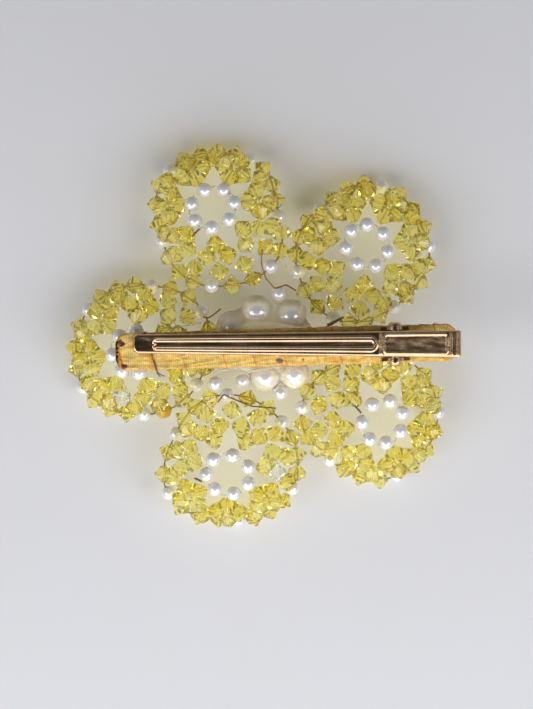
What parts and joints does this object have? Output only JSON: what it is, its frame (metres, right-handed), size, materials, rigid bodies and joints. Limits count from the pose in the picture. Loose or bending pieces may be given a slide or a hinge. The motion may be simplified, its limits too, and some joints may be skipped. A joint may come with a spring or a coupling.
{
  "type": "flower hair clip",
  "caption": "Alligator hair clip with a sprung lever, wrapped in ribbon and glued to the back of a flower of cupped petals woven from faceted crystals and pearls.",
  "frame": {"origin": "centre of the bounding box in plan, on the surface that the petals' lowest beads rest on", "axes": "the clip lies face down: +Z from the flower's face to the clip on its back, +X along the clip from the jaw tip to the thumb tail, +Y across it"},
  "size_m": [0.0787, 0.0774, 0.0252],
  "materials": {
    "plated_steel": "stamped steel plated in pale rose gold, glossy and slightly worn",
    "spring_steel": "drawn spring wire",
    "ribbon": "golden-yellow woven ribbon, creased, wound round the arm",
    "binding_thread": "dark brown sewing thread",
    "glue": "set hot glue, translucent and glossy",
    "pearl": "white imitation pearl with a soft lustre",
    "bronze_wire": "fine bronze-coloured craft wire",
    "clear_crystal": "faceted clear acrylic",
    "yellow_crystal": "faceted transparent yellow acrylic",
    "amber": "opaque golden-amber acrylic",
    "nylon": "clear nylon line"
  },
  "bodies": {
    "flower_and_base": {"base_arm": "plated_steel", "pivot_pin": "plated_steel", "torsion_spring": "spring_steel", "ribbon_wrap": "ribbon", "binding_thread": "binding_thread", "glue_pad": "glue", "centre_large_pearls": "pearl", "centre_small_pearls": "pearl", "tie_wires": "bronze_wire", "clear_crystals": "clear_crystal", "amber_bead": "amber", "petal_1_rim_crystals": "yellow_crystal", "petal_1_weave_crystals": "yellow_crystal", "petal_1_rim_pearls": "pearl", "petal_1_ring_pearls": "pearl", "petal_1_rim_wire": "bronze_wire", "petal_1_weave_thread": "nylon", "petal_2_rim_crystals": "yellow_crystal", "petal_2_weave_crystals": "yellow_crystal", "petal_2_rim_pearls": "pearl", "petal_2_ring_pearls": "pearl", "petal_2_rim_wire": "bronze_wire", "petal_2_weave_thread": "nylon", "petal_3_rim_crystals": "yellow_crystal", "petal_3_weave_crystals": "yellow_crystal", "petal_3_rim_pearls": "pearl", "petal_3_ring_pearls": "pearl", "petal_3_rim_wire": "bronze_wire", "petal_3_weave_thread": "nylon", "petal_4_rim_crystals": "yellow_crystal", "petal_4_weave_crystals": "yellow_crystal", "petal_4_rim_pearls": "pearl", "petal_4_ring_pearls": "pearl", "petal_4_rim_wire": "bronze_wire", "petal_4_weave_thread": "nylon", "petal_5_rim_crystals": "yellow_crystal", "petal_5_weave_crystals": "yellow_crystal", "petal_5_rim_pearls": "pearl", "petal_5_ring_pearls": "pearl", "petal_5_rim_wire": "bronze_wire", "petal_5_weave_thread": "nylon"},
    "lever": {"lever": "plated_steel"}
  },
  "joints": [
    {"name": "lever_pivot", "type": "hinge", "parent": "flower_and_base", "child": "lever", "pos_m": [0.0266, -0.0016, 0.01863], "axis": [0, 1, 0], "range_deg": [0, 25], "stiffness_Nm_per_rad": 0.08, "springref_deg": -40.11, "deforming": ["torsion_spring"]}
  ]
}
